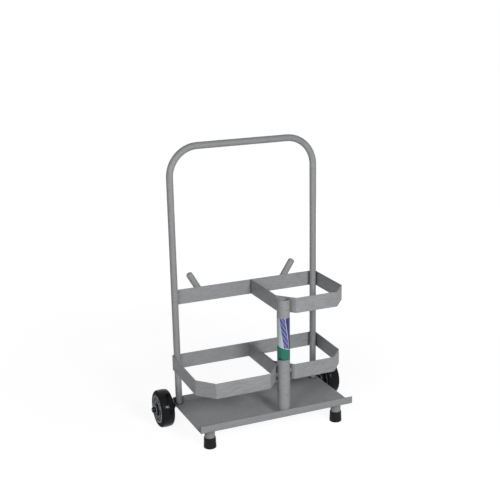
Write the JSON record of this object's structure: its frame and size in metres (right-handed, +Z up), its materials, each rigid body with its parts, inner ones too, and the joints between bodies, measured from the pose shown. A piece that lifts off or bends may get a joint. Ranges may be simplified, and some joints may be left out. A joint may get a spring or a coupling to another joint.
{
  "type": "welding cylinder trolley",
  "caption": "Trolley for an oxygen and an acetylene cylinder: bent tube handle, sheet tray, flat-bar hoops, filler rod tube, hose pegs, rubber-tipped feet and solid-tyred wheels on one axle.",
  "frame": {"origin": "on the floor, under the middle of the overall box", "axes": "+Z up, the cylinders stand on the -Y side of the uprights, +X is the right-hand side seen from the front; the axle runs along X"},
  "size_m": [0.691, 0.341, 0.9371],
  "materials": {
    "grey_paint": "satin grey enamel",
    "foot_rubber": "matte black moulded rubber",
    "tyre_rubber": "black rubber, slight sheen",
    "wheel_plastic": "light grey moulded plastic",
    "bush_plastic": "dark acetal",
    "zinc_steel": "bright zinc plate",
    "black_plastic": "black moulded plastic"
  },
  "bodies": {
    "frame": {"handle_frame": "grey_paint", "base_tray": "grey_paint", "upper_hoop": "grey_paint", "lower_hoop_left": "grey_paint", "lower_hoop_right": "grey_paint", "rod_tube": "grey_paint", "hose_peg_left": "grey_paint", "hose_peg_right": "grey_paint", "foot_tube_left": "grey_paint", "foot_tube_right": "grey_paint", "foot_tip_left": "foot_rubber", "foot_tip_right": "foot_rubber", "axle": "zinc_steel", "axle_spacer_left": "black_plastic", "axle_spacer_right": "black_plastic", "inner_washer_left": "zinc_steel", "inner_washer_right": "zinc_steel", "outer_washer_left": "zinc_steel", "outer_washer_right": "zinc_steel", "axle_cap_left": "black_plastic", "axle_cap_right": "black_plastic"},
    "wheel_left": {"tyre_left": "tyre_rubber", "wheel_disc_left": "wheel_plastic", "hub_bush_left": "bush_plastic"},
    "wheel_right": {"tyre_right": "tyre_rubber", "wheel_disc_right": "wheel_plastic", "hub_bush_right": "bush_plastic"}
  },
  "joints": [
    {"name": "wheel_left_spin", "type": "hinge", "parent": "frame", "child": "wheel_left", "pos_m": [-0.306, 0.107, 0.0635], "axis": [1, 0, 0], "continuous": true},
    {"name": "wheel_right_spin", "type": "hinge", "parent": "frame", "child": "wheel_right", "pos_m": [0.306, 0.107, 0.0635], "axis": [1, 0, 0], "continuous": true}
  ]
}
